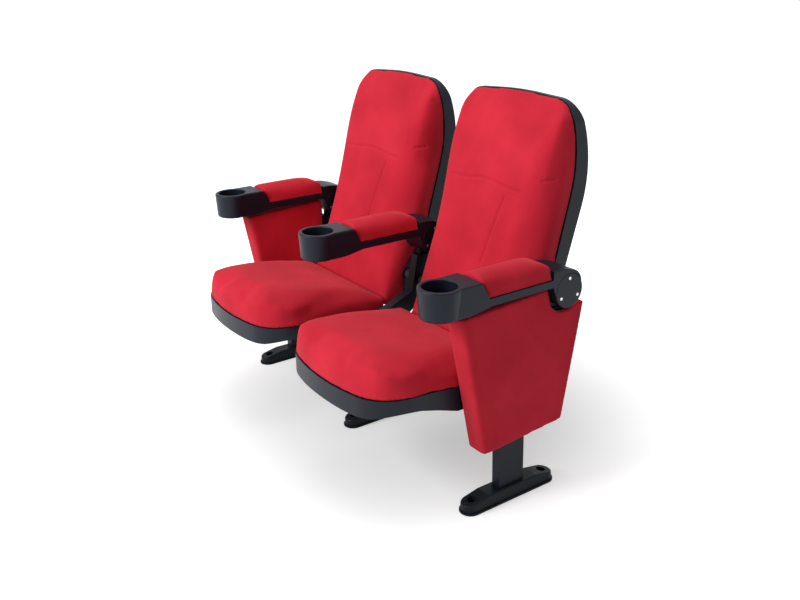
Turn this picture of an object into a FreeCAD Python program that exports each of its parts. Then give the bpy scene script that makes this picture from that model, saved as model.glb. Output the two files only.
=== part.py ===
import FreeCAD, Part
import math
import os

# Two-seat cinema unit, sizes in millimetres, seats face -Y, Z up
pitch = 580.0
standard_x = (-pitch, 0.0, pitch)
seat_x = (-pitch / 2, pitch / 2)

# Foot and post
foot_length = 320.0
foot_width = 60.0
foot_flange = 5.0
foot_body_width = 52.0
foot_height = 38.0
foot_end_height = 24.0
anchor_spacing = 250.0
anchor_r = 6.0
post_thickness = 30.0
post_depth = 85.0
post_front = -41.0
post_top = 300.0
tube_wall = 3.0

# Upright, hub ear and pin
upright_top = 515.0
hub_y = 162.0
hub_z = 570.0
ear_thickness = 16.0
ear_r = 30.0
pin_r = 9.0
pin_fit = 0.05
pin_seat = 0.02
pin_half = 22.0

# Armrest
arm_half = 50.0
arm_gap = 0.4
cheek_thickness = 6.0
cheek_r = 28.0
strip_low = 590.0
strip_top = 610.0
bar_thickness = 10.0
bar_half = 25.0
cup_y = -229.0
cup_outer_r = 57.0
cup_taper = 5.0
cup_inner_r = 45.0
cup_floor = 585.0
block_top = 657.0
block_low = 577.0
pad_rear = 103.0
disc_r = 48.0
disc_thickness = 12.0
disc_seat = 0.3
screw_ring_r = 34.0
screw_r = 4.5

# Side panels of the outer standards
panel_half = 36.0
cover_thickness = 6.0
panel_clear = 0.5

# Cross beams and rails
beam_size = 30.0
beam_wall = 2.5
beam_y = (-24.0, 27.0)
beam_low = 255.0
rail_x = 150.0
rail_width = 30.0
rail_height = 12.0
rail_front = -170.0
rail_rear = 90.0
runner_lip = 5.0
runner_fit = 0.05
runner_top = 6.0

# Seat
seat_half = 250.0
seat_front = -406.0
front_bow = 16.0
shoulder_x = 150.0
seat_rear = 29.0
frame_half = 190.0
frame_front = -185.0
frame_rear = 20.0
frame_height = 24.0
frame_bar = 24.0
tongue_half = 60.0
pan_wall = 6.0
soft_gap = 0.3

# Back
back_half = 226.0
back_low = 336.0
back_top = 1050.0
back_corner = 66.0
back_lean = 0.327
face_y = 79.0
face_z = 480.0
shell_wall = 5.0
pivot_y = 135.0
pivot_z = 430.0
pivot_r = 10.0
pivot_fit = 0.05
bush_r = 17.0
plate_thickness = 5.0
plate_r = 22.0
lever_drop = 110.0
lever_r = 8.0
cross_y = 207.5
cross_z = 520.0
cross_r = 10.0
tube_seat = 0.1

beam_top = beam_low + beam_size
rail_top = beam_top + rail_height
frame_low = rail_top + runner_top
seat_base = frame_low + frame_height + 2
post_rear = post_front + post_depth


def vec(x, y, z):
    return FreeCAD.Vector(x, y, z)


def side_face(x, start, steps):
    """Side outline in (y, z): two numbers draw a line, four an arc by its middle."""
    here = vec(x, start[0], start[1])
    first = here
    edges = []
    for step in steps:
        end = vec(x, step[-2], step[-1])
        if len(step) == 4:
            edges.append(Part.Arc(here, vec(x, step[0], step[1]), end).toShape())
        else:
            edges.append(Part.makeLine(here, end))
        here = end
    if here.distanceToPoint(first) > 0.001:
        edges.append(Part.makeLine(here, first))
    return Part.Face(Part.Wire(edges))


def side_prism(points, x_low, x_high):
    """Side outline drawn out along X."""
    face = side_face(x_low, points[0], points[1:])
    return face.extrude(vec(x_high - x_low, 0, 0))


def box(x0, x1, y0, y1, z0, z1):
    return Part.makeBox(x1 - x0, y1 - y0, z1 - z0, vec(x0, y0, z0))


def rod_x(r, x0, x1, y, z):
    return Part.makeCylinder(r, x1 - x0, vec(x0, y, z), vec(1, 0, 0))


def rod_z(r, z0, z1, x, y):
    return Part.makeCylinder(r, z1 - z0, vec(x, y, z0), vec(0, 0, 1))


def moved(shape, x):
    copy = shape.copy()
    copy.translate(vec(x, 0, 0))
    return copy


def mirrored(shape):
    return shape.mirror(vec(0, 0, 0), vec(1, 0, 0))


def tidy(shape):
    """The one clean solid of a cut or a join."""
    clean = shape.removeSplitter()
    solids = sorted(clean.Solids, key=lambda s: s.Volume)
    return solids[-1]


def rounded(shape, radius, test):
    """Round the edges whose middle passes the test, smaller where it does not fit."""
    picked = []
    for edge in shape.Edges:
        middle = edge.valueAt((edge.FirstParameter + edge.LastParameter) / 2)
        if test(middle):
            picked.append(edge)
    for size in (radius, radius * 0.6, radius * 0.3):
        try:
            result = shape.makeFillet(size, picked)
        except Exception:
            continue
        if result.isValid() and result.Volume > 0:
            return tidy(result)
    return shape


def rounded_outline(points, radii):
    """Closed wire in the XY plane with an arc at each corner."""
    count = len(points)
    corners = []
    for i in range(count):
        here = vec(points[i][0], points[i][1], 0)
        before = vec(points[i - 1][0], points[i - 1][1], 0)
        after = vec(points[(i + 1) % count][0], points[(i + 1) % count][1], 0)
        a = (before - here).normalize()
        b = (after - here).normalize()
        half = a.getAngle(b) / 2
        reach = radii[i] / math.tan(half)
        toward = (a + b).normalize()
        centre = here + toward * (radii[i] / math.sin(half))
        corners.append((here + a * reach, centre - toward * radii[i], here + b * reach))
    edges = []
    for i in range(count):
        start, middle, end = corners[i]
        edges.append(Part.Arc(start, middle, end).toShape())
        following = corners[(i + 1) % count][0]
        if end.distanceToPoint(following) > 0.01:
            edges.append(Part.makeLine(end, following))
    return Part.Wire(edges)


# Foot casting with a flange, a sloping body and two anchor holes
def make_foot():
    half = foot_length / 2
    end = foot_width / 2
    body_half = foot_body_width / 2
    flange = box(-end, end, -half + end, half - end, 0, foot_flange)
    body = box(-body_half, body_half, -half + end, half - end, 0, foot_height)
    for side in (-1, 1):
        y = side * (half - end)
        flange = flange.fuse(rod_z(end, 0, foot_flange, 0, y))
        body = body.fuse(rod_z(body_half, 0, foot_height, 0, y))
    outline = [(-half, 0), (half, 0), (half, foot_end_height), (half - 75, foot_height),
               (-half + 75, foot_height), (-half, foot_end_height)]
    body = tidy(body.common(side_prism(outline, -end, end)))
    body = rounded(body, 5.0, lambda p: p.z > foot_flange + 14)
    foot = tidy(flange.fuse(body))
    for side in (-1, 1):
        y = side * anchor_spacing / 2
        foot = foot.cut(rod_z(anchor_r, -1, foot_height + 1, 0, y))
        foot = foot.cut(rod_z(anchor_r + 7, 14, foot_height + 1, 0, y))
    return tidy(foot)


# Rectangular steel tube standing on the foot
def make_post():
    outer = post_thickness / 2
    inner = outer - tube_wall
    post = box(-outer, outer, post_front, post_rear, foot_height, post_top)
    hollow = box(-inner, inner, post_front + tube_wall, post_rear - tube_wall,
                 foot_height - 1, post_top + 1)
    return tidy(post.cut(hollow))


# Welded box from the post back and up to the hub
def make_upright():
    outer = post_thickness / 2
    inner = outer - tube_wall
    t = tube_wall
    outline = [(post_front, post_top), (post_rear, post_top), (150, 380),
               (180, upright_top), (118, upright_top), (95, 400), (post_front, 345)]
    hollow = [(post_front + t, post_top - 1), (post_rear - t, post_top - 1),
              (post_rear - t, post_top + 2), (150 - t, 382), (180 - t - 1, upright_top - t),
              (118 + t, upright_top - t), (95 + t, 397), (post_front + t, 342)]
    upright = side_prism(outline, -outer, outer)
    return tidy(upright.cut(side_prism(hollow, -inner, inner)))


# Ear plate with the pin hole, welded on top of the upright
def make_ear():
    half = ear_thickness / 2
    ear = box(-half, half, hub_y - ear_r, hub_y + 16, upright_top, hub_z)
    ear = ear.fuse(rod_x(ear_r, -half, half, hub_y, hub_z))
    return tidy(ear.cut(rod_x(pin_r + pin_seat, -half - 1, half + 1, hub_y, hub_z)))


def make_pin():
    pin = rod_x(pin_r, -pin_half, pin_half, hub_y, hub_z)
    return rounded(pin, 1.0, lambda p: abs(p.x) > pin_half - 0.1)


# Steel fork of the armrest, two cheeks on the pin and a flat bar forward
def make_arm_core():
    inner = ear_thickness / 2 + arm_gap
    outer = inner + cheek_thickness
    low = strip_top - bar_thickness
    core = box(-bar_half, bar_half, -100, 100, low, strip_top)
    outline = [(20, strip_top), (20, low), (100, low - 3), (hub_y - 20, hub_z - 19),
               (hub_y + 20, hub_z + 19), (hub_y, hub_z + cheek_r), (110, strip_top)]
    for side in (-1, 1):
        x0, x1 = sorted((side * inner, side * outer))
        cheek = side_prism(outline, x0, x1).fuse(rod_x(cheek_r, x0, x1, hub_y, hub_z))
        core = core.fuse(cheek)
    return tidy(core.cut(rod_x(pin_r + pin_fit, -outer - 1, outer + 1, hub_y, hub_z)))


# Moulded armrest with the cup block, the strip under the pad and the rear lobe
def make_arm_body(core):
    block = side_prism([(cup_y, block_low), (-185, block_low), (-150, 582, -105, strip_low),
                        (pad_rear + 8, strip_low), (pad_rear + 8, strip_top),
                        (-112, strip_top), (-137, block_top), (cup_y, block_top)],
                       -arm_half, arm_half)
    barrel = Part.makeCone(cup_outer_r - cup_taper, cup_outer_r, block_top - block_low,
                           vec(0, cup_y, block_low), vec(0, 0, 1))
    body = tidy(block.fuse(barrel))
    body = rounded(body, 5.0, lambda p: p.z > block_top - 0.1 and p.y < -140)
    body = rounded(body, 6.0, lambda p: p.z < block_low + 0.1 and p.y < -190)
    lobe = side_prism([(pad_rear, strip_low), (118, 552), (140, 528, hub_y, hub_z - disc_r + 1),
                       (200, 546, 207, 585), (198, 612, 172, 626), (140, 634, pad_rear, 634)],
                      -arm_half, arm_half)
    lobe = rounded(lobe, 7.0, lambda p: abs(p.x) > arm_half - 0.1 and p.z > 600
                   and p.y > pad_rear + 5)
    body = tidy(body.fuse(lobe))
    inner = arm_half - disc_thickness
    for side in (-1, 1):
        x0, x1 = sorted((side * inner, side * (arm_half + 2)))
        body = body.cut(rod_x(disc_r + disc_seat, x0, x1, hub_y, hub_z))
    body = tidy(body.cut(rod_z(cup_inner_r, cup_floor, block_top + 1, 0, cup_y)))
    body = rounded(body, 3.0, lambda p: p.z > block_top - 0.1
                   and abs(math.hypot(p.x, p.y - cup_y) - cup_inner_r) < 0.5)
    half = ear_thickness / 2 + 1.5
    body = body.cut(box(-half, half, hub_y - ear_r - 0.3, hub_y + 60, 500, hub_z + ear_r + 2))
    body = body.cut(rod_x(ear_r + 2, -half, half, hub_y, hub_z))
    body = body.cut(rod_x(pin_r + 1, -pin_half - 1, pin_half + 1, hub_y, hub_z))
    return tidy(body.cut(core))


# Upholstered pad of the armrest with a slanted front and a crowned top
def make_arm_pad():
    g = soft_gap
    side = side_prism([(-136.4 + g, 657), (-112 + 2 * g, strip_top + g),
                       (pad_rear - g, strip_top + g), (pad_rear - g, 640),
                       (pad_rear - 4, 650, 88, 657), (-30, 676, -132, 667)],
                      -arm_half, arm_half)
    crown = [vec(-48, -200, 600), vec(48, -200, 600), vec(49.5, -200, 638)]
    edges = [Part.makeLine(crown[0], crown[1]), Part.makeLine(crown[1], crown[2])]
    edges.append(Part.Arc(crown[2], vec(46, -200, 654), vec(34, -200, 664)).toShape())
    edges.append(Part.Arc(vec(34, -200, 664), vec(0, -200, 671), vec(-34, -200, 664)).toShape())
    edges.append(Part.Arc(vec(-34, -200, 664), vec(-46, -200, 654), vec(-49.5, -200, 638)).toShape())
    edges.append(Part.makeLine(vec(-49.5, -200, 638), crown[0]))
    section = Part.Face(Part.Wire(edges)).extrude(vec(0, 400, 0))
    return tidy(side.common(section))


def screw_places():
    places = []
    for k in range(3):
        angle = math.radians(90 + 120 * k)
        y = hub_y + screw_ring_r * math.cos(angle)
        z = hub_z + screw_ring_r * math.sin(angle)
        places.append((y, z))
    return places


# Round cover on the side of the hub with three screw recesses
def make_hub_disc():
    disc = rod_x(disc_r, arm_half - disc_thickness, arm_half, hub_y, hub_z)
    disc = rounded(disc, 3.0, lambda p: p.x > arm_half - 0.1)
    for y, z in screw_places():
        disc = disc.cut(rod_x(screw_r + 0.5, arm_half - 1.5, arm_half + 1, y, z))
    return tidy(disc)


def make_hub_screws():
    screws = []
    for side in (-1, 1):
        x0, x1 = sorted((side * (arm_half - 1.5), side * (arm_half + 0.8)))
        for y, z in screw_places():
            screw = rod_x(screw_r, x0, x1, y, z)
            screws.append(rounded(screw, 0.8, lambda p: abs(p.x) > arm_half + 0.5))
    return Part.makeCompound(screws)


# Side panel of an outer standard, a board inside a padded cloth cover
def panel_prism(inset, half):
    i = inset
    return side_prism([(-188 + i, 566 - i), (-112 + 0.8 * i, 171 + i), (163 - i, 190 + i),
                       (234 - i, 522 - i), (198, 520 - i), (155, 508 - i, 112 - i, 534),
                       (99 - i, 583 - i)], -half, half)


def panel_room():
    """Room for the tube work, open on the inboard side, here -X."""
    c = panel_clear
    outer = post_thickness / 2 + c
    room = side_prism([(post_front - c, 100), (post_rear + c, 100),
                       (post_rear + c, post_top - c), (150 + c, 380 - c),
                       (180 + 2 * c, upright_top), (180 + 2 * c, upright_top + 40),
                       (110, upright_top + 40), (95 - c, 400 + c),
                       (post_front - c, 345 + c)], -outer, outer)
    window = side_prism([(92, 350), (98, 420), (108, 620), (300, 620), (300, 350)],
                        -panel_half - 2, -outer + 1)
    room = room.fuse(window)
    for y in beam_y:
        half = beam_size / 2 + c
        room = room.fuse(box(-panel_half - 2, 0, y - half, y + half, beam_low - c, beam_top + c))
    return room


def make_panel_cover():
    cover = panel_prism(0.0, panel_half)
    cover = rounded(cover, 14.0, lambda p: abs(p.x) > panel_half - 0.1 and p.y < -105
                    and p.z < 560)
    hollow = panel_prism(cover_thickness, panel_half - cover_thickness)
    return tidy(cover.cut(hollow).cut(panel_room()))


def make_panel_board():
    board = panel_prism(cover_thickness, panel_half - cover_thickness)
    return tidy(board.cut(panel_room()))


# Two square tubes from post to post under one seat
def make_beams():
    x1 = (pitch - post_thickness) / 2
    beams = []
    for y in beam_y:
        half = beam_size / 2
        inner = half - beam_wall
        beam = box(-x1, x1, y - half, y + half, beam_low, beam_top)
        hollow = box(-x1 - 1, x1 + 1, y - inner, y + inner, beam_low + beam_wall,
                     beam_top - beam_wall)
        beams.append(tidy(beam.cut(hollow)))
    return Part.makeCompound(beams)


def make_rails():
    half = rail_width / 2
    rails = []
    for x in (-rail_x, rail_x):
        rails.append(box(x - half, x + half, rail_front, rail_rear, beam_top, rail_top))
    return Part.makeCompound(rails)


# Channels under the seat that slide on the rails
def make_runners():
    half = rail_width / 2
    runners = []
    for x in (-rail_x, rail_x):
        runner = box(x - half - runner_lip, x + half + runner_lip, rail_front + 5,
                     frame_rear - 5, beam_top + 4, frame_low)
        groove = box(x - half - runner_fit, x + half + runner_fit, rail_front - 50, 100,
                     beam_top, rail_top + runner_fit)
        runners.append(tidy(runner.cut(groove)))
    return Part.makeCompound(runners)


# Flat steel frame inside the seat pan with the push tongue at the rear
def make_seat_frame():
    high = frame_low + frame_height
    b = frame_bar
    frame = box(-frame_half, frame_half, frame_front, frame_rear, frame_low, high)
    frame = frame.cut(box(-frame_half + b, frame_half - b, frame_front + b, frame_rear - b,
                          frame_low - 1, high + 1))
    for x in (-rail_x, rail_x):
        frame = frame.fuse(box(x - 16, x + 16, frame_front, frame_rear, frame_low, high))
    reach = pivot_y - lever_r - soft_gap
    frame = frame.fuse(box(-tongue_half, tongue_half, frame_rear - b, reach, frame_low, high))
    return tidy(frame)


def seat_plan(grow):
    """Plan of the seat, bowed front, tangent round corners, small rear corners."""
    h = seat_half
    bow_y = seat_front + front_bow
    slope = 2 * math.atan(front_bow / shoulder_x)
    corner_r = (h - shoulder_x) / (1 - math.sin(slope))
    side_y = bow_y + corner_r * math.cos(slope)
    halfway = (math.pi / 2 - slope) / 2
    bend_x = h - corner_r * (1 - math.cos(halfway))
    bend_y = side_y - corner_r * math.sin(halfway)
    starts = [vec(h - 12, seat_rear, 0), vec(-h + 12, seat_rear, 0), vec(-h, seat_rear - 14, 0),
              vec(-h, side_y, 0), vec(-shoulder_x, bow_y, 0), vec(shoulder_x, bow_y, 0),
              vec(h, side_y, 0), vec(h, seat_rear - 14, 0)]
    bends = {1: vec(-h + 3, seat_rear - 4, 0), 3: vec(-bend_x, bend_y, 0),
             4: vec(0, seat_front, 0), 5: vec(bend_x, bend_y, 0),
             7: vec(h - 3, seat_rear - 4, 0)}
    edges = []
    for i, start in enumerate(starts):
        end = starts[(i + 1) % len(starts)]
        if i in bends:
            edges.append(Part.Arc(start, bends[i], end).toShape())
        else:
            edges.append(Part.makeLine(start, end))
    wire = Part.Wire(edges)
    if grow:
        wire = wire.makeOffset2D(grow)
    return Part.Face(wire).extrude(vec(0, 0, 600))


def seat_seam(raise_by):
    """Line where cushion and pan meet, from the rear to the front."""
    z = seat_base + raise_by
    return [(seat_rear + 5, z), (-110, z + 11), (-200, z + 24, -290, z + 29), (-425, z + 25)]


# Moulded pan under the cushion, hollow for the frame and notched for the runners
def make_seat_pan():
    high = frame_low + frame_height
    outline = seat_seam(0) + [(-425, 330), (-412, 303, -392, 300), (-372, 304),
                              (-320, 318, -255, 315), (-200, 299), (-140, 278), (-75, 278),
                              (-62, 291), (seat_rear - 20, 291), (seat_rear + 5, 298)]
    pan = tidy(seat_plan(0).common(side_prism(outline, -300, 300)))
    w = pan_wall
    inside = [(seat_rear - w, frame_low), (-188, frame_low), (-200, 299 + w), (-255, 315 + w),
              (-320, 318 + w, -372, 304 + w), (-425, 300 + w), (-425, 400), (seat_rear - w, 400)]
    hollow = seat_plan(-pan_wall).common(side_prism(inside, -300, 300))
    pan = pan.cut(hollow)
    t = tongue_half + soft_gap
    pan = pan.cut(box(-t, t, frame_rear - 3, seat_rear + 1, 280, high + 1))
    for x in (-rail_x, rail_x):
        half = rail_width / 2 + runner_lip + soft_gap
        pan = pan.cut(box(x - half, x + half, rail_front - 20, 100, 270, frame_low + 0.3))
    return tidy(pan)


# Upholstered seat cushion, dished top and rounded front
def make_seat_cushion():
    z = seat_base
    outline = seat_seam(soft_gap) + [(-425, z + 59), (-402, z + 99, -345, z + 105),
                                     (-180, z + 83, seat_rear - 16, z + 54),
                                     (seat_rear + 5, z + 42)]
    cushion = tidy(seat_plan(0).common(side_prism(outline, -300, 300)))
    return rounded(cushion, 18.0, lambda p: p.z > 375 and abs(p.x) > seat_half - 60
                   and p.y > -340)


def lean(z, offset):
    """Depth at height z of a line parallel to the front face of the back."""
    return face_y + (z - face_z) * back_lean + offset


def back_plan(grow):
    """Front outline of the back, low round corners, high round corners, arched top."""
    h = back_half + grow
    low = back_low - grow
    top = back_top + grow
    points = [(-h, low), (h, low), (h - 5, top - 9), (0, top + 5), (-h + 5, top - 9)]
    radii = [16.0, 16.0, back_corner, 1200.0, back_corner]
    wire = rounded_outline(points, radii)
    wire.rotate(vec(0, 0, 0), vec(1, 0, 0), 90)
    wire.translate(vec(0, -100, 0))
    return Part.Face(wire).extrude(vec(0, 700, 0))


# Upholstered back cushion in front of the seam
def make_back_cushion():
    g = soft_gap
    outline = [(lean(back_low, 0), back_low - 5), (lean(620, -4), 620, lean(810, -12), 810),
               (lean(930, -15), 930, lean(1010, -10), 1010),
               (lean(1040, -2), 1040, 268, 1064), (281 - g, 1064), (277 - g, 1003),
               (293 - g, 900, 277 - g, 782),
               (228 - g, 618), (lean(back_low, 100) - g, back_low - 5)]
    cushion = tidy(back_plan(0).common(side_prism(outline, -300, 300)))
    return rounded(cushion, 16.0, lambda p: p.y < lean(p.z, 8) and p.z > 400)


# Plastic shell behind the seam, hollow towards the cushion
def make_back_shell():
    w = shell_wall
    outline = [(lean(back_low, 100), back_low - 5), (228, 618), (277, 782),
               (293, 900, 277, 1003), (281, 1064), (287, 1064), (313, 1000),
               (338, 870, 318, 747), (262, 583), (lean(back_low, 118), back_low - 5)]
    shell = tidy(back_plan(0).common(side_prism(outline, -300, 300)))
    shell = rounded(shell, 9.0, lambda p: abs(p.x) > 195 and p.y > 262 and p.z > 590
                    and p.y > lean(p.z, 150))
    inside = [(lean(back_low, 100) - 10, back_low + w), (218, 618), (267, 782),
              (283, 900, 267, 1003), (267, 1000 - w), (313 - w, 1000 - w),
              (338 - w, 870, 318 - w, 747), (262 - w, 583), (lean(back_low, 118) - w, back_low + w)]
    hollow = back_plan(-w).common(side_prism(inside, -300, 300))
    shell = shell.cut(hollow)
    shell = shell.cut(rod_x(cross_r + tube_seat, -back_half - 1, back_half + 1, cross_y, cross_z))
    return tidy(shell)


# Steel side plates on the pivots, a cross tube and the lower push bar
def make_back_frame():
    outer = back_half + plate_thickness
    foot_z = pivot_z - lever_drop
    frame = rod_x(cross_r, -back_half, back_half, cross_y, cross_z)
    frame = frame.fuse(rod_x(lever_r, -back_half, back_half, pivot_y, foot_z))
    for side in (-1, 1):
        x0, x1 = sorted((side * back_half, side * outer))
        plate = side_prism([(pivot_y - 21, pivot_z + 6), (pivot_y - 12, foot_z),
                            (pivot_y, foot_z - 12, pivot_y + 12, foot_z),
                            (pivot_y + 21, pivot_z - 6), (cross_y + 18, cross_z - 8),
                            (cross_y + 12, cross_z + 18, cross_y - 12, cross_z + 16)], x0, x1)
        plate = plate.fuse(rod_x(plate_r, x0, x1, pivot_y, pivot_z))
        frame = frame.fuse(plate)
    return tidy(frame.cut(rod_x(pivot_r + pivot_fit, -outer - 1, outer + 1, pivot_y, pivot_z)))


def make_pivots():
    pins = []
    reach = (pitch - post_thickness) / 2
    for side in (-1, 1):
        x0, x1 = sorted((side * (back_half + soft_gap), side * reach))
        pins.append(rod_x(pivot_r, x0, x1, pivot_y, pivot_z))
    return Part.makeCompound(pins)


# Rubber torsion bush round each back pivot
def make_bushes():
    bushes = []
    reach = (pitch - post_thickness) / 2
    for side in (-1, 1):
        x0, x1 = sorted((side * (back_half + plate_thickness + soft_gap), side * reach))
        bush = rod_x(bush_r, x0, x1, pivot_y, pivot_z)
        hole = rod_x(pivot_r + pin_seat, x0 - 1, x1 + 1, pivot_y, pivot_z)
        bushes.append(tidy(bush.cut(hole)))
    return Part.makeCompound(bushes)


def export(name, shape):
    shape.exportStep("parts/" + name + ".step")


os.makedirs("parts", exist_ok=True)

standard_parts = {"foot": make_foot(), "post": make_post(), "upright": make_upright(),
                  "hub_ear": make_ear(), "hub_pin": make_pin()}
arm_core = make_arm_core()
hub_disc = make_hub_disc()
arm_parts = {"arm_core": arm_core, "arm_body": make_arm_body(arm_core),
             "arm_pad": make_arm_pad(), "hub_disc_right": hub_disc,
             "hub_disc_left": mirrored(hub_disc), "hub_screws": make_hub_screws()}
for place, x in zip(("left", "centre", "right"), standard_x):
    for name, shape in list(standard_parts.items()) + list(arm_parts.items()):
        export(name + "_" + place, moved(shape, x))

panel_parts = {"panel_cover": make_panel_cover(), "panel_board": make_panel_board()}
for name, shape in panel_parts.items():
    export(name + "_right", moved(shape, pitch))
    export(name + "_left", moved(mirrored(shape), -pitch))

seat_parts = {"cross_beams": make_beams(), "seat_rails": make_rails(),
              "seat_runners": make_runners(), "seat_frame": make_seat_frame(),
              "seat_pan": make_seat_pan(), "seat_cushion": make_seat_cushion(),
              "back_frame": make_back_frame(), "back_shell": make_back_shell(),
              "back_cushion": make_back_cushion(), "back_pivots": make_pivots(),
              "back_bushes": make_bushes()}
for place, x in zip(("left", "right"), seat_x):
    for name, shape in seat_parts.items():
        export(name + "_" + place, moved(shape, x))
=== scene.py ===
import math
import bpy
import numpy as np
from mathutils import Matrix, Vector


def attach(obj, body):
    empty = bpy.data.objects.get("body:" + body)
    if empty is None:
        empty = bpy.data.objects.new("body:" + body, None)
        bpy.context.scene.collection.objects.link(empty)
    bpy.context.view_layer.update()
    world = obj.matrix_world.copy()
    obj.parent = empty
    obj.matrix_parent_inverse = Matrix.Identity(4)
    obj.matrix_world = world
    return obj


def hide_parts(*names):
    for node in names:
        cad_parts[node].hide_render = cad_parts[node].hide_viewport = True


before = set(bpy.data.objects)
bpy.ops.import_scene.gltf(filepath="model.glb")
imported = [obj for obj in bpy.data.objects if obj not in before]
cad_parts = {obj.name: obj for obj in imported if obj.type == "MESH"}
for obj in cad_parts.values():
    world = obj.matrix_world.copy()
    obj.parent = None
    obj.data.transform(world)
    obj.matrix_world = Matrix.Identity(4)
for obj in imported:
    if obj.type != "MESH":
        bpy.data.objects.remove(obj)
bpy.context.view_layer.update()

scene = bpy.context.scene
scene.view_settings.view_transform = "Standard"

# Camera where the photographer stood, a little above the armrests and to the
# right of the seats. The short shift keeps the feet in the frame.
camera_place = (2.1936, -1.4697, 1.4090)
yaw = math.radians(55.05)
pitch_down = math.radians(16.08)
roll = math.radians(-0.954)
ahead = Vector((-math.sin(yaw) * math.cos(pitch_down), math.cos(yaw) * math.cos(pitch_down),
                -math.sin(pitch_down)))
level_right = Vector((math.cos(yaw), math.sin(yaw), 0.0))
level_up = level_right.cross(ahead)
right = math.cos(roll) * level_right + math.sin(roll) * level_up
up = -math.sin(roll) * level_right + math.cos(roll) * level_up
camera_data = bpy.data.cameras.new("camera")
camera_data.sensor_width = 36.0
camera_data.lens = 40.54
camera_data.shift_y = -0.1
camera = bpy.data.objects.new("camera", camera_data)
scene.collection.objects.link(camera)
turn = Matrix((right, up, -ahead)).transposed().to_4x4()
camera.matrix_world = Matrix.Translation(camera_place) @ turn
scene.camera = camera


def linear(code):
    """Colour written as sRGB hex, turned into the linear values the shaders use."""
    parts = [int(code[i:i + 2], 16) / 255 for i in (1, 3, 5)]
    values = [p / 12.92 if p <= 0.04045 else ((p + 0.055) / 1.055) ** 2.4 for p in parts]
    return (*values, 1.0)


def add_node(material, kind, settings=None, inputs=None):
    """One shader node: settings are its properties, inputs are values or (node, output)."""
    made = material.node_tree.nodes.new(kind)
    for name, value in (settings or {}).items():
        setattr(made, name, value)
    for name, value in (inputs or {}).items():
        if isinstance(value, tuple) and len(value) == 2 and hasattr(value[0], "outputs"):
            material.node_tree.links.new(value[0].outputs[value[1]], made.inputs[name])
        else:
            made.inputs[name].default_value = value
    return made


def new_material(name):
    material = bpy.data.materials.new(name)
    material.use_nodes = True
    material.node_tree.nodes.clear()
    return material


# Photographer's paper: a wide matt white sheet under the unit. To the camera and in gloss it
# also glows with painted light. The glow is weak near the unit, so the soft shadow there stays,
# and it rises to pure white away from the unit, which paints the paper round the unit darker
# than further off.
paper_half = 14.0
paper_drop = -0.0005
near_painted_glow = 0.28
painted_glow_rise_start = 0.3
painted_glow_rise_end = 1.4
paper = new_material("paper_with_painted_glow")
paper_rays = add_node(paper, "ShaderNodeLightPath")
paper_seen = add_node(paper, "ShaderNodeMath", {"operation": "MAXIMUM"},
                      {0: (paper_rays, "Is Camera Ray"), 1: (paper_rays, "Is Glossy Ray")})
paper_place = add_node(paper, "ShaderNodeTexCoord")
paper_far = add_node(paper, "ShaderNodeVectorMath", {"operation": "LENGTH"},
                     {0: (paper_place, "Object")})
# Painted light: the paper's glow, weak near the unit and pure white further out, so the paper is
# painted darker round the unit.
painted_glow_fade = add_node(paper, "ShaderNodeMapRange", {"interpolation_type": "SMOOTHSTEP"},
                      {"Value": (paper_far, "Value"),
                       "From Min": painted_glow_rise_start, "From Max": painted_glow_rise_end,
                       "To Min": near_painted_glow, "To Max": 1.0})
paper_painted_glow = add_node(paper, "ShaderNodeMath", {"operation": "MULTIPLY"},
                      {0: (painted_glow_fade, "Result"), 1: (paper_seen, "Value")})
paper_matt = add_node(paper, "ShaderNodeBsdfDiffuse", None, {"Color": linear("#E8E8E8")})
paper_painted_light = add_node(paper, "ShaderNodeEmission", None, {"Strength": (paper_painted_glow, "Value")})
paper_both = add_node(paper, "ShaderNodeAddShader", None,
                      {0: (paper_matt, "BSDF"), 1: (paper_painted_light, "Emission")})
add_node(paper, "ShaderNodeOutputMaterial", None, {"Surface": (paper_both, "Shader")})
sweep_mesh = bpy.data.meshes.new("paper_sweep")
sweep_corners = [(x * paper_half, y * paper_half, paper_drop)
                 for x, y in ((-1, -1), (1, -1), (1, 1), (-1, 1))]
sweep_mesh.from_pydata(sweep_corners, [], [(0, 1, 2, 3)])
sweep = bpy.data.objects.new("paper_sweep", sweep_mesh)
scene.collection.objects.link(sweep)
sweep_mesh.materials.append(paper)

# White studio: soft light from all round, and pure white where the camera or a
# gloss sees it.
world = bpy.data.worlds.new("white_room")
world.use_nodes = True
scene.world = world
world.node_tree.nodes.clear()
room_rays = add_node(world, "ShaderNodeLightPath")
room_seen = add_node(world, "ShaderNodeMath", {"operation": "MAXIMUM"},
                     {0: (room_rays, "Is Camera Ray"), 1: (room_rays, "Is Glossy Ray")})
room_light = add_node(world, "ShaderNodeBackground", None,
                      {"Color": linear("#FFFFFF"), "Strength": 0.30})
room_view = add_node(world, "ShaderNodeBackground", None,
                     {"Color": linear("#FFFFFF"), "Strength": 1.0})
room_mix = add_node(world, "ShaderNodeMixShader", None,
                    {0: (room_seen, "Value"), 1: (room_light, "Background"),
                     2: (room_view, "Background")})
add_node(world, "ShaderNodeOutputWorld", None, {"Surface": (room_mix, "Shader")})


def softbox(name, place, target, size, power):
    """A square studio softbox turned towards its target."""
    light = bpy.data.lights.new(name, "AREA")
    light.size = size
    light.energy = power
    lamp = bpy.data.objects.new(name, light)
    scene.collection.objects.link(lamp)
    lamp.location = place
    lamp.rotation_euler = (Vector(target) - Vector(place)).to_track_quat("-Z", "Y").to_euler()


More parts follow.
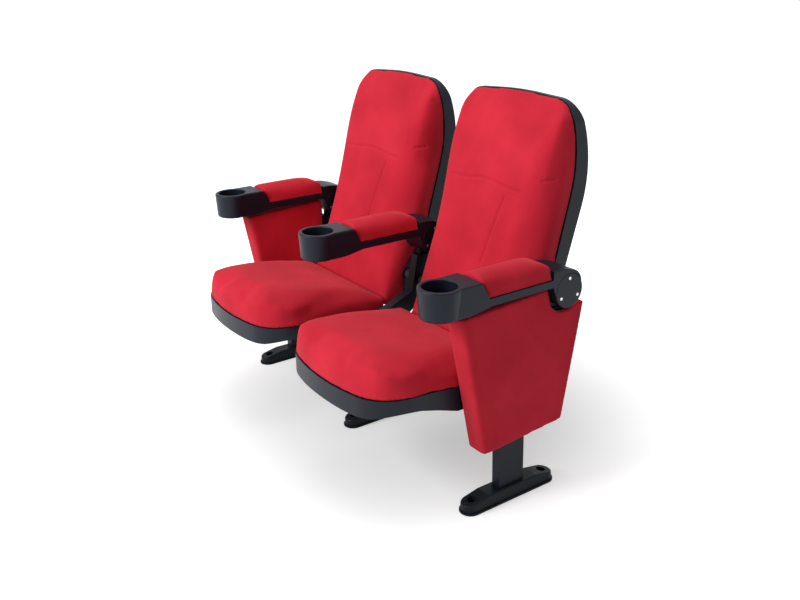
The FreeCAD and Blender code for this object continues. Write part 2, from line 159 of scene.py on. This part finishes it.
# Key light high in front, a weak fill from the right and a broad top light. The
# outer face of the right panel stays in shade, as in the photograph.
softbox("key_softbox", (-0.5, -3.3, 2.3), (0.0, -0.1, 0.6), size=1.7, power=112)
softbox("fill_softbox", (3.4, -0.8, 1.8), (0.2, 0.0, 0.5), size=2.2, power=6)
softbox("top_softbox", (0.1, 0.2, 3.4), (0.0, 0.0, 0.5), size=2.4, power=30)


def finish_node(names, material):
    """Give CAD nodes that stay their real finish."""
    for name in names:
        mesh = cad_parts[name].data
        mesh.materials.clear()
        mesh.materials.append(material)


def soften_edges(names, width):
    """A small bevel where two faces meet sharply, as paint and casting leave it."""
    for name in names:
        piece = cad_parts[name]
        bevel = piece.modifiers.new("edge", "BEVEL")
        bevel.width = width
        bevel.segments = 2
        bevel.limit_method = "ANGLE"
        bevel.angle_limit = math.radians(40)


# Feet: grey-iron castings, powder-coated black, slightly rough where the sand
# mould shows through the coat. Each has two open holes for its floor anchors.
sides = ("left", "right")
standards = ("left", "centre", "right")
paint_radius = 0.0012
cast_iron = new_material("black_powder_coat_on_iron")
iron_place = add_node(cast_iron, "ShaderNodeTexCoord")
iron_sand = add_node(cast_iron, "ShaderNodeTexNoise", None,
                     {"Vector": (iron_place, "Object"), "Scale": 520.0, "Detail": 3.0})
iron_lumps = add_node(cast_iron, "ShaderNodeTexNoise", None,
                      {"Vector": (iron_place, "Object"), "Scale": 70.0, "Detail": 2.0})
iron_height = add_node(cast_iron, "ShaderNodeMath", {"operation": "ADD"},
                       {0: (iron_sand, "Fac"), 1: (iron_lumps, "Fac")})
iron_bump = add_node(cast_iron, "ShaderNodeBump", None,
                     {"Height": (iron_height, "Value"), "Strength": 0.35, "Distance": 0.0006})
iron_shade = add_node(cast_iron, "ShaderNodeMapRange", None,
                      {"Value": (iron_lumps, "Fac"), "To Min": 0.38, "To Max": 0.62})
iron_colour = add_node(cast_iron, "ShaderNodeMix", {"data_type": "RGBA"},
                       {0: (iron_lumps, "Fac"), 6: linear("#080B11"), 7: linear("#131821")})
iron_coat = add_node(cast_iron, "ShaderNodeBsdfPrincipled", None,
                     {"Base Color": (iron_colour, 2), "Roughness": (iron_shade, "Result"),
                      "Normal": (iron_bump, "Normal"), "Specular IOR Level": 0.16})
add_node(cast_iron, "ShaderNodeOutputMaterial", None, {"Surface": (iron_coat, "BSDF")})
feet = ["foot_" + place for place in standards]
finish_node(feet, cast_iron)
soften_edges(feet, paint_radius)

# Posts, uprights, hub ears, arm cores, cross beams and the frames inside seats
# and backs: welded steel tube and plate, powder-coated satin black with the fine
# orange peel that baked powder leaves, about 1.5 mm apart.
black_steel = new_material("satin_black_powder_coat")
steel_place = add_node(black_steel, "ShaderNodeTexCoord")
peel = add_node(black_steel, "ShaderNodeTexNoise", None,
                {"Vector": (steel_place, "Object"), "Scale": 650.0, "Detail": 1.0})
peel_bump = add_node(black_steel, "ShaderNodeBump", None,
                     {"Height": (peel, "Fac"), "Strength": 0.25, "Distance": 0.0003})
scuffs = add_node(black_steel, "ShaderNodeTexNoise", None,
                  {"Vector": (steel_place, "Object"), "Scale": 14.0, "Detail": 5.0})
scuff_gloss = add_node(black_steel, "ShaderNodeMapRange", None,
                       {"Value": (scuffs, "Fac"), "To Min": 0.32, "To Max": 0.5})
steel_colour = add_node(black_steel, "ShaderNodeMix", {"data_type": "RGBA"},
                        {0: (scuffs, "Fac"), 6: linear("#0A0F17"), 7: linear("#141B27")})
powder = add_node(black_steel, "ShaderNodeBsdfPrincipled", None,
                  {"Base Color": (steel_colour, 2), "Roughness": (scuff_gloss, "Result"),
                   "Normal": (peel_bump, "Normal"), "Specular IOR Level": 0.16})
add_node(black_steel, "ShaderNodeOutputMaterial", None, {"Surface": (powder, "BSDF")})
tube_work = [kind + place for place in standards for kind in ("post_", "upright_", "hub_ear_")]
tube_work += ["arm_core_" + place for place in standards]
tube_work += [kind + side for side in sides
              for kind in ("cross_beams_", "seat_frame_", "back_frame_")]
finish_node(tube_work, black_steel)
soften_edges([name for name in tube_work if name.startswith(("post", "upright"))], paint_radius)

# Pins, rails and pivots: cold-drawn steel, left bright and lightly oiled, its
# gloss broken by fine lines about 1 mm apart.
bright_steel = new_material("drawn_steel")
drawn_place = add_node(bright_steel, "ShaderNodeTexCoord")
drawn_stretch = add_node(bright_steel, "ShaderNodeMapping", None,
                         {"Vector": (drawn_place, "Object"), "Scale": (40.0, 900.0, 900.0)})
drawn_lines = add_node(bright_steel, "ShaderNodeTexNoise", None,
                       {"Vector": (drawn_stretch, "Vector"), "Scale": 1.0, "Detail": 2.0})
drawn_gloss = add_node(bright_steel, "ShaderNodeMapRange", None,
                       {"Value": (drawn_lines, "Fac"), "To Min": 0.22, "To Max": 0.4})
drawn = add_node(bright_steel, "ShaderNodeBsdfPrincipled", None,
                 {"Base Color": linear("#B4B6B8"), "Metallic": 1.0,
                  "Roughness": (drawn_gloss, "Result")})
add_node(bright_steel, "ShaderNodeOutputMaterial", None, {"Surface": (drawn, "BSDF")})
finish_node(["hub_pin_" + place for place in standards], bright_steel)
steel_pairs = [kind + side for side in sides for kind in ("seat_rails_", "back_pivots_")]
finish_node(steel_pairs, bright_steel)

# Torsion bushes and runners: black moulded rubber and nylon, dull, with a grain
# of about 1 mm.
rubber = new_material("moulded_rubber")
rubber_place = add_node(rubber, "ShaderNodeTexCoord")
rubber_grain = add_node(rubber, "ShaderNodeTexNoise", None,
                        {"Vector": (rubber_place, "Object"), "Scale": 900.0})
rubber_bump = add_node(rubber, "ShaderNodeBump", None,
                       {"Height": (rubber_grain, "Fac"), "Strength": 0.3, "Distance": 0.0003})
rubber_skin = add_node(rubber, "ShaderNodeBsdfPrincipled", None,
                       {"Base Color": linear("#141414"), "Roughness": 0.75,
                        "Normal": (rubber_bump, "Normal")})
add_node(rubber, "ShaderNodeOutputMaterial", None, {"Surface": (rubber_skin, "BSDF")})
rubber_pairs = [kind + side for side in sides for kind in ("back_bushes_", "seat_runners_")]
finish_node(rubber_pairs, rubber)

# Moulded plastic of the seat pans, back shells, armrests and hub covers:
# polypropylene, blue-black, with the fine spark grain of its mould, 0.6 mm pits
# drawn about 1.2 mm so that they show, and a satin gloss.
black_plastic = new_material("grained_polypropylene")
plastic_place = add_node(black_plastic, "ShaderNodeTexCoord")
pits = add_node(black_plastic, "ShaderNodeTexVoronoi", {"feature": "SMOOTH_F1"},
                {"Vector": (plastic_place, "Object"), "Scale": 850.0, "Smoothness": 0.6})
mould_flow = add_node(black_plastic, "ShaderNodeTexNoise", None,
                      {"Vector": (plastic_place, "Object"), "Scale": 9.0, "Detail": 4.0})
pit_bump = add_node(black_plastic, "ShaderNodeBump", None,
                    {"Height": (pits, "Distance"), "Strength": 0.3, "Distance": 0.0004})
plastic_gloss = add_node(black_plastic, "ShaderNodeMapRange", None,
                         {"Value": (mould_flow, "Fac"), "To Min": 0.34, "To Max": 0.48})
plastic_colour = add_node(black_plastic, "ShaderNodeMix", {"data_type": "RGBA"},
                          {0: (mould_flow, "Fac"), 6: linear("#0A1019"), 7: linear("#151D2A")})
plastic = add_node(black_plastic, "ShaderNodeBsdfPrincipled", None,
                   {"Base Color": (plastic_colour, 2), "Roughness": (plastic_gloss, "Result"),
                    "Normal": (pit_bump, "Normal"), "Specular IOR Level": 0.2})
add_node(black_plastic, "ShaderNodeOutputMaterial", None, {"Surface": (plastic, "BSDF")})
mouldings = [kind + side for side in sides for kind in ("seat_pan_", "back_shell_")]
mouldings += [kind + place for place in standards
              for kind in ("arm_body_", "hub_disc_left_", "hub_disc_right_")]
finish_node(mouldings, black_plastic)

# Screws of the hub covers: zinc-plated round heads that catch the light.
zinc = new_material("zinc_plate")
zinc_place = add_node(zinc, "ShaderNodeTexCoord")
zinc_haze = add_node(zinc, "ShaderNodeTexNoise", None,
                     {"Vector": (zinc_place, "Object"), "Scale": 400.0})
zinc_gloss = add_node(zinc, "ShaderNodeMapRange", None,
                      {"Value": (zinc_haze, "Fac"), "To Min": 0.18, "To Max": 0.35})
plated = add_node(zinc, "ShaderNodeBsdfPrincipled", None,
                  {"Base Color": linear("#C9CBCD"), "Metallic": 1.0,
                   "Roughness": (zinc_gloss, "Result")})
add_node(zinc, "ShaderNodeOutputMaterial", None, {"Surface": (plated, "BSDF")})
finish_node(["hub_screws_" + place for place in standards], zinc)

# Board inside each end panel: birch plywood with its plies on edge, stained black
# as the makers do where the opening for the hub leaves it in view.
plywood = new_material("black_stained_plywood")
ply_place = add_node(plywood, "ShaderNodeTexCoord")
ply_stretch = add_node(plywood, "ShaderNodeMapping", None,
                       {"Vector": (ply_place, "Object"), "Scale": (330.0, 6.0, 40.0)})
ply_grain = add_node(plywood, "ShaderNodeTexNoise", None,
                     {"Vector": (ply_stretch, "Vector"), "Scale": 1.0, "Detail": 4.0})
ply_colour = add_node(plywood, "ShaderNodeMix", {"data_type": "RGBA"},
                      {0: (ply_grain, "Fac"), 6: linear("#14110F"), 7: linear("#2B241E")})
ply = add_node(plywood, "ShaderNodeBsdfPrincipled", None,
               {"Base Color": (ply_colour, 2), "Roughness": 0.7})
add_node(plywood, "ShaderNodeOutputMaterial", None, {"Surface": (ply, "BSDF")})
finish_node(["panel_board_" + side for side in sides], plywood)

# Upholstery cloth: a red flat-woven wool mix with a short raised nap. Threads
# lie about 1 mm apart and are drawn at 1.8 mm so that they show. The nap gives
# a faint pale sheen where the cloth turns away, and the dye varies a little.
red_cloth = new_material("red_wool_cloth")
cloth_place = add_node(red_cloth, "ShaderNodeTexCoord")
nap = add_node(red_cloth, "ShaderNodeTexNoise", None,
               {"Vector": (cloth_place, "Object"), "Scale": 620.0, "Detail": 4.0,
                "Roughness": 0.7})
threads = add_node(red_cloth, "ShaderNodeTexVoronoi", {"feature": "F1"},
                   {"Vector": (cloth_place, "Object"), "Scale": 560.0, "Randomness": 0.35})
weave = add_node(red_cloth, "ShaderNodeMath", {"operation": "MULTIPLY_ADD"},
                 {0: (threads, "Distance"), 1: 0.8, 2: (nap, "Fac")})
weave_bump = add_node(red_cloth, "ShaderNodeBump", None,
                      {"Height": (weave, "Value"), "Strength": 0.55, "Distance": 0.0007})
dye = add_node(red_cloth, "ShaderNodeTexNoise", None,
               {"Vector": (cloth_place, "Object"), "Scale": 7.0, "Detail": 3.0})
fleck = add_node(red_cloth, "ShaderNodeMath", {"operation": "MULTIPLY_ADD"},
                 {0: (nap, "Fac"), 1: 0.35, 2: (dye, "Fac")})
fleck_range = add_node(red_cloth, "ShaderNodeMapRange", None,
                       {"Value": (fleck, "Value"), "From Min": 0.35, "From Max": 0.95})
cloth_colour = add_node(red_cloth, "ShaderNodeMix", {"data_type": "RGBA"},
                        {0: (fleck_range, "Result"), 6: linear("#B01026"), 7: linear("#D02438")})
cloth = add_node(red_cloth, "ShaderNodeBsdfPrincipled", None,
                 {"Base Color": (cloth_colour, 2), "Roughness": 0.88,
                  "Specular IOR Level": 0.25, "Sheen Weight": 0.18, "Sheen Roughness": 0.45,
                  "Sheen Tint": linear("#FF9AA0"), "Normal": (weave_bump, "Normal")})
add_node(red_cloth, "ShaderNodeOutputMaterial", None, {"Surface": (cloth, "BSDF")})


def positions(mesh):
    values = np.empty(len(mesh.vertices) * 3)
    mesh.vertices.foreach_get("co", values)
    return values.reshape(-1, 3)


def normals(mesh):
    values = np.empty(len(mesh.vertices) * 3)
    mesh.vertices.foreach_get("normal", values)
    return values.reshape(-1, 3)


def place_points(mesh, points):
    mesh.vertices.foreach_set("co", np.ascontiguousarray(points).ravel())
    mesh.update()


def new_piece(name, mesh):
    piece = bpy.data.objects.new(name, mesh)
    scene.collection.objects.link(piece)
    return piece


def with_modifiers(piece):
    """The piece's mesh as its modifiers leave it."""
    shown = piece.evaluated_get(bpy.context.evaluated_depsgraph_get())
    return bpy.data.meshes.new_from_object(shown)


def settle(piece):
    """Apply the modifiers for good."""
    mesh = with_modifiers(piece)
    piece.modifiers.clear()
    piece.data = mesh


def relax(mesh, rounds, hold=None):
    """Even out the cover, each point towards the middle of its neighbours."""
    edges = np.empty(len(mesh.edges) * 2, dtype=np.int64)
    mesh.edges.foreach_get("vertices", edges)
    edges = edges.reshape(-1, 2)
    points = positions(mesh)
    count = np.zeros(len(points))
    np.add.at(count, edges[:, 0], 1)
    np.add.at(count, edges[:, 1], 1)
    free = 1.0 if hold is None else (1.0 - hold)[:, None]
    for _ in range(rounds):
        total = np.zeros_like(points)
        np.add.at(total, edges[:, 0], points[edges[:, 1]])
        np.add.at(total, edges[:, 1], points[edges[:, 0]])
        points += 0.5 * free * (total / count[:, None] - points)
    place_points(mesh, points)


# Cushions are cold foam under a sewn cover. The foam presses the cloth out until
# the cover is tight, and the cover is held where it is stapled or sewn.
sim_frames = 20
remesh_rounds = 3
settle_rounds = 22
held_least = 0.02
cushion_voxel = 0.006
foam_inset = 0.003
cushion_pressure = 2.0
cushion_rise = 0.022


def blow_out(piece, firm, pressure, cap):
    """Press the cover out from inside, no point further than cap, then even it out."""
    start = positions(piece.data)
    group = piece.vertex_groups.new(name="sewn")
    for i in np.nonzero(firm > held_least)[0]:
        group.add([int(i)], float(firm[i]), "REPLACE")
    cover = piece.modifiers.new("cover", "CLOTH")
    cover.settings.use_pressure = True
    cover.settings.uniform_pressure_force = pressure
    cover.settings.vertex_group_mass = "sewn"
    cover.settings.quality = 6
    cover.settings.effector_weights.gravity = 0.0
    cover.collision_settings.use_collision = False
    for number in range(1, sim_frames + 1):
        scene.frame_set(number)
    settle(piece)
    scene.frame_set(1)
    shift = positions(piece.data) - start
    length = np.linalg.norm(shift, axis=1)
    shift *= np.minimum(1.0, cap / np.maximum(length, 1e-9))[:, None]
    place_points(piece.data, start + shift)
    relax(piece.data, settle_rounds, firm)


def foam_pad(name, node, voxel, smooth, inset=0.0, pressure=0.0, cap=0.0, held=None,
             seated=None, fine=1):
    """Cloth over foam: a slightly small copy of the solid is blown out under its cover.
    held tells how firmly each point stays, from 0 to 1; seated lays the rim on its base."""
    piece = new_piece(name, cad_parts[node].data.copy())
    shape = piece.modifiers.new("even", "REMESH")
    shape.mode = "VOXEL"
    shape.voxel_size = voxel
    settle(piece)
    mesh = piece.data
    relax(mesh, remesh_rounds)
    firm = held(positions(mesh)) if held else np.zeros(len(mesh.vertices))
    relax(mesh, smooth, firm)
    place_points(mesh, positions(mesh) - (inset * (1.0 - firm))[:, None] * normals(mesh))
    if pressure:
        blow_out(piece, firm, pressure, cap)
    if seated:
        place_points(piece.data, seated(positions(piece.data)))
    if fine:
        subdivided = piece.modifiers.new("fine", "SUBSURF")
        subdivided.levels = fine
        subdivided.render_levels = fine
        settle(piece)
    piece.vertex_groups.clear()
    return piece


def twin(piece, name, offset):
    """The same sewn piece for the next place along the row."""
    copy = new_piece(name, piece.data.copy())
    place_points(copy.data, positions(copy.data) + np.array([offset, 0.0, 0.0]))
    return copy


def dress(piece, material, slot, body, *nodes):
    """Finish, body and CAD node of a soft piece. The slot argument is not used."""
    piece.data.materials.clear()
    piece.data.materials.append(material)
    piece.data.polygons.foreach_set("use_smooth", [True] * len(piece.data.polygons))
    piece.data.update()
    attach(piece, body)
    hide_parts(*nodes)


# Seat cushions: cold-foam blocks, dished for the sitter, under one tight red
# cover that is stapled to the rim of the pan all round. The rim and the rear
# stay where they are held, and pitch is the distance from seat to seat.
pitch = 0.58
rim_height = 0.012
base_gap = 0.004
lay_height = 0.006
pan_gap = 0.0004
seat_rear_hold = 0.010
seat_rear_band = 0.014


def pan_line(y):
    """Height of the pan's rim from the front to the rear."""
    return np.interp(y, [-0.425, -0.29, -0.2, -0.11, 0.034], [0.354, 0.358, 0.353, 0.340, 0.329])


def rim_of_seat(points):
    above = points[:, 2] - pan_line(points[:, 1])
    rim = np.clip(1.0 - (above - base_gap) / rim_height, 0.0, 1.0)
    rear = np.clip((points[:, 1] - seat_rear_hold) / seat_rear_band, 0.0, 1.0)
    return np.maximum(rim, rear)


def on_pan(points):
    base = pan_line(points[:, 1]) + pan_gap
    near = np.clip(1.0 - (points[:, 2] - base) / lay_height, 0.0, 1.0)
    points[:, 2] = np.maximum(points[:, 2] * (1.0 - near) + base * near, base)
    return points


seat_left = foam_pad("seat_cushion_red_left", "seat_cushion_left", cushion_voxel, smooth=34,
                     inset=foam_inset, pressure=cushion_pressure, cap=cushion_rise,
                     held=rim_of_seat, seated=on_pan)
seat_right = twin(seat_left, "seat_cushion_red_right", pitch)
for side, piece in (("left", seat_left), ("right", seat_right)):
    dress(piece, red_cloth, "upholstery_cloth", "seat_" + side, "seat_cushion_" + side)


# Back cushions: moulded foam on the back's shell, rolled at the edges, with an
# arched seam across below the head, an upright seam under it and a short seam
# on each bolster.
back_foot_hold = 0.365
back_foot_band = 0.02
shell_gap = 0.0005
front_facing = -0.3


def shell_line(z):
    """Depth of the shell's front edge from the foot of the back to its top."""
    return np.interp(z, [0.331, 0.618, 0.70, 0.782, 0.84, 0.89, 0.95, 1.003, 1.064],
                     [0.1303, 0.228, 0.2525, 0.277, 0.289, 0.2925, 0.2885, 0.277, 0.281])


def rim_of_back(points):
    depth = shell_line(points[:, 2]) - points[:, 1]
    rim = np.clip(1.0 - (depth - base_gap) / rim_height, 0.0, 1.0)
    foot = np.clip((back_foot_hold - points[:, 2]) / back_foot_band, 0.0, 1.0)
    return np.maximum(rim, foot)


def on_shell(points):
    base = shell_line(points[:, 2]) - shell_gap
    near = np.clip(1.0 - (base - points[:, 1]) / lay_height, 0.0, 1.0)
    points[:, 1] = np.minimum(points[:, 1] * (1.0 - near) + base * near, base)
    return points


def sewn_groove(mesh, line, depth, half_width):
    """A seam on the front face along (x, z) points, pulled in by its stitches."""
    points = positions(mesh)
    facing = normals(mesh)
    flat = points[:, [0, 2]]
    away = np.full(len(points), 1.0)
    for start, end in zip(line, line[1:]):
        a = np.array(start)
        step = np.array(end) - a
        along = np.clip(((flat - a) @ step) / (step @ step), 0.0, 1.0)
        away = np.minimum(away, np.linalg.norm(flat - (a + along[:, None] * step), axis=1))
    pull = depth * np.exp(-(away / half_width) ** 2) * (facing[:, 1] < front_facing)
    place_points(mesh, points - pull[:, None] * facing)


back_left = foam_pad("back_cushion_red_left", "back_cushion_left", cushion_voxel, smooth=14,
                     inset=foam_inset, pressure=cushion_pressure, cap=cushion_rise,
                     held=rim_of_back, seated=on_shell)
middle = -pitch / 2
seam_end_z = 0.7995
seam_rise = 0.0115
seam_reach = 0.150
arch_width = 0.075
seam_depth = 0.0032
seam_half_width = 0.0042
head_seam = [(middle + x, seam_end_z + seam_rise * math.exp(-(x / arch_width) ** 2))
             for x in np.linspace(-seam_reach, seam_reach, 21)]
upright_seam = [(middle + 0.095, 0.775), (middle + 0.076, 0.680), (middle + 0.060, 0.585)]
bolster_inner = 0.203
bolster_outer = 0.228
bolster_seams = [[(middle + side * bolster_inner, 0.834), (middle + side * bolster_outer, 0.838)]
                 for side in (-1, 1)]
for line in (head_seam, upright_seam, *bolster_seams):
    sewn_groove(back_left.data, line, seam_depth, seam_half_width)
back_right = twin(back_left, "back_cushion_red_right", pitch)
for side, piece in (("left", back_left), ("right", back_right)):
    dress(piece, red_cloth, "upholstery_cloth", "back_" + side, "back_cushion_" + side)


# Arm pads: foam strips under red cloth on the flat strip of each armrest. The
# foot of the cover lies on the strip.
pad_foot = 0.6125
strip_top = 0.6104


def foot_of_pad(points):
    return np.clip(1.0 - (points[:, 2] - pad_foot) / lay_height, 0.0, 1.0)


def on_strip(points):
    points[:, 2] = np.maximum(points[:, 2], strip_top)
    return points


pad_centre = foam_pad("arm_pad_red_centre", "arm_pad_centre", voxel=0.004, smooth=5,
                      inset=foam_inset, pressure=4.0, cap=0.008,
                      held=foot_of_pad, seated=on_strip)
pads = {"centre": pad_centre, "left": twin(pad_centre, "arm_pad_red_left", -pitch),
        "right": twin(pad_centre, "arm_pad_red_right", pitch)}
for place, piece in pads.items():
    dress(piece, red_cloth, "upholstery_cloth", "arm_" + place, "arm_pad_" + place)


# End panels: a board in a thin layer of foam, wrapped in the same red cloth,
# which turns round the front edge in a soft radius. The left one is a mirror.
panel_right = foam_pad("panel_cover_red_right", "panel_cover_right", voxel=0.0035, smooth=8,
                       fine=0)
mirror = panel_right.data.copy()
place_points(mirror, positions(panel_right.data) * np.array([-1.0, 1.0, 1.0]))
mirror.flip_normals()
panel_left = new_piece("panel_cover_red_left", mirror)
for side, piece in (("left", panel_left), ("right", panel_right)):
    dress(piece, red_cloth, "upholstery_cloth", "frame", "panel_cover_" + side)
